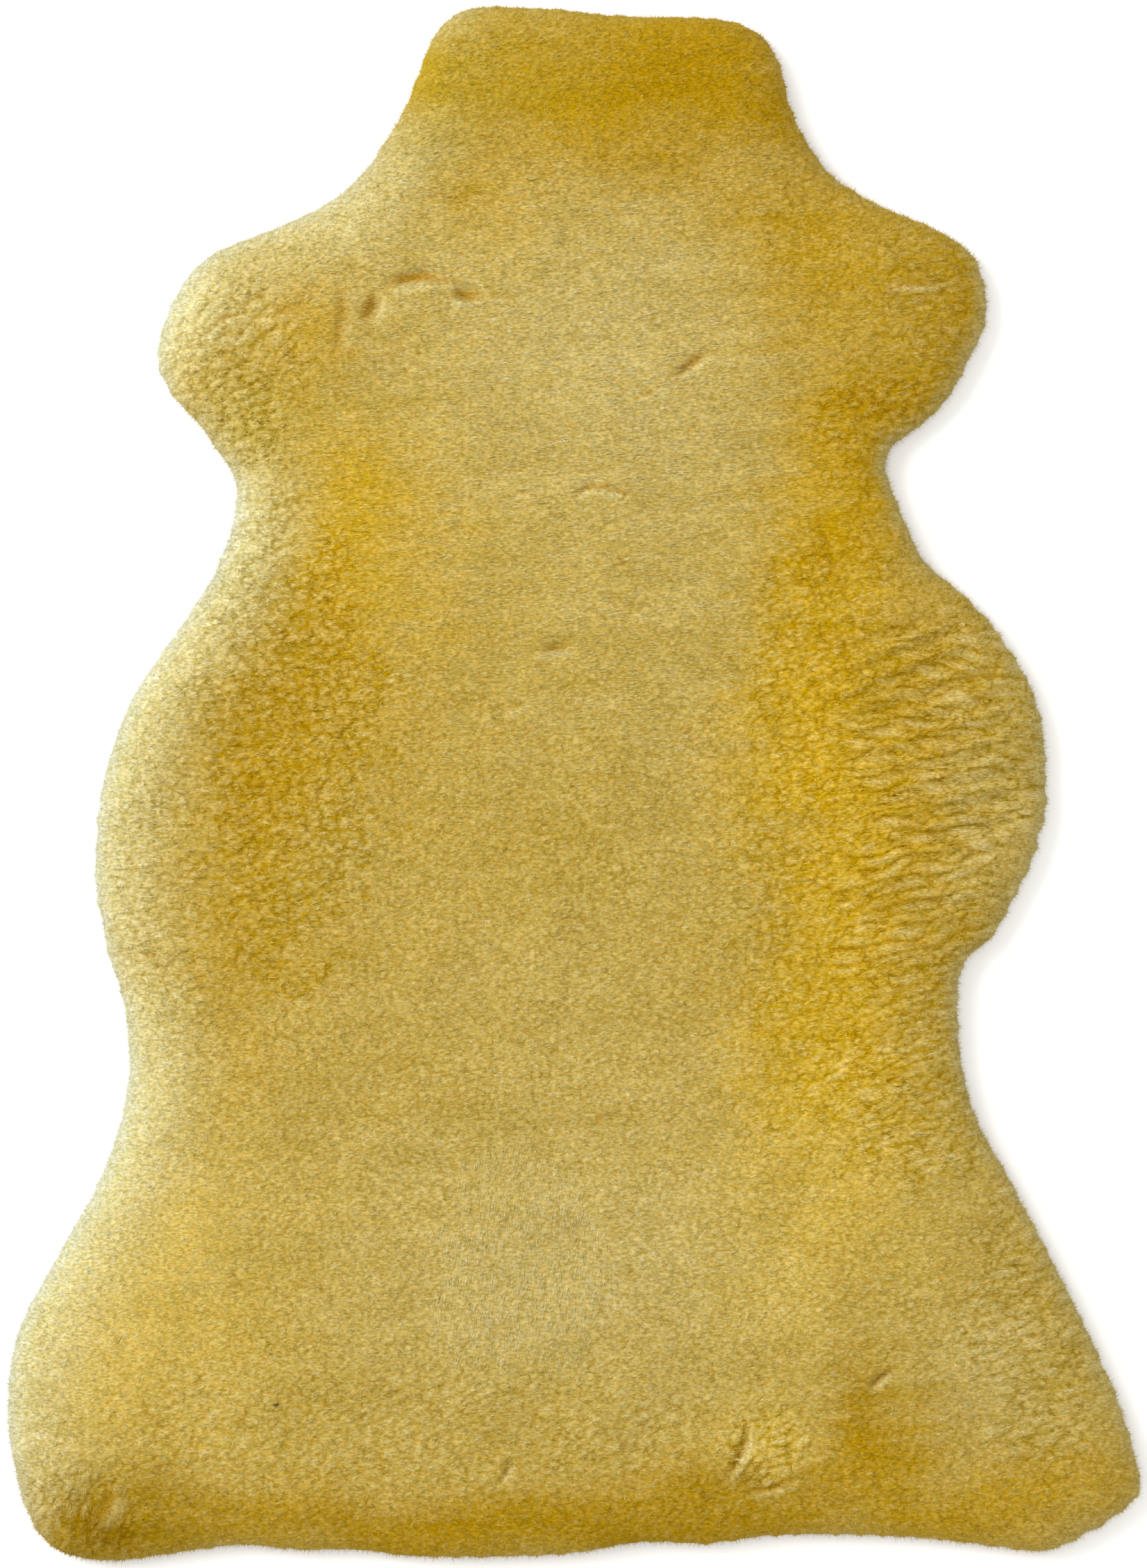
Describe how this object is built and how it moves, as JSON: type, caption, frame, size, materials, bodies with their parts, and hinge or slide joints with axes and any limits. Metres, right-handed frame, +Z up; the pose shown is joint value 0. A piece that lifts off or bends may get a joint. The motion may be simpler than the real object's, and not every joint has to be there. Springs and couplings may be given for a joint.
{
  "type": "sheepskin rug",
  "caption": "Honey-coloured sheepskin rug in the outline of a whole pelt, with dense clipped wool that rolls over its rim and a flat hide to lie on.",
  "frame": {"origin": "middle of the rug's box, on the floor", "axes": "+Z up out of the wool, +Y towards the neck, +X to the right seen from above"},
  "size_m": [0.6942, 0.951, 0.0367],
  "materials": {
    "wool": "matte clipped wool, honey yellow"
  },
  "bodies": {
    "root": {"sheepskin_pelt": "wool"}
  },
  "joints": []
}
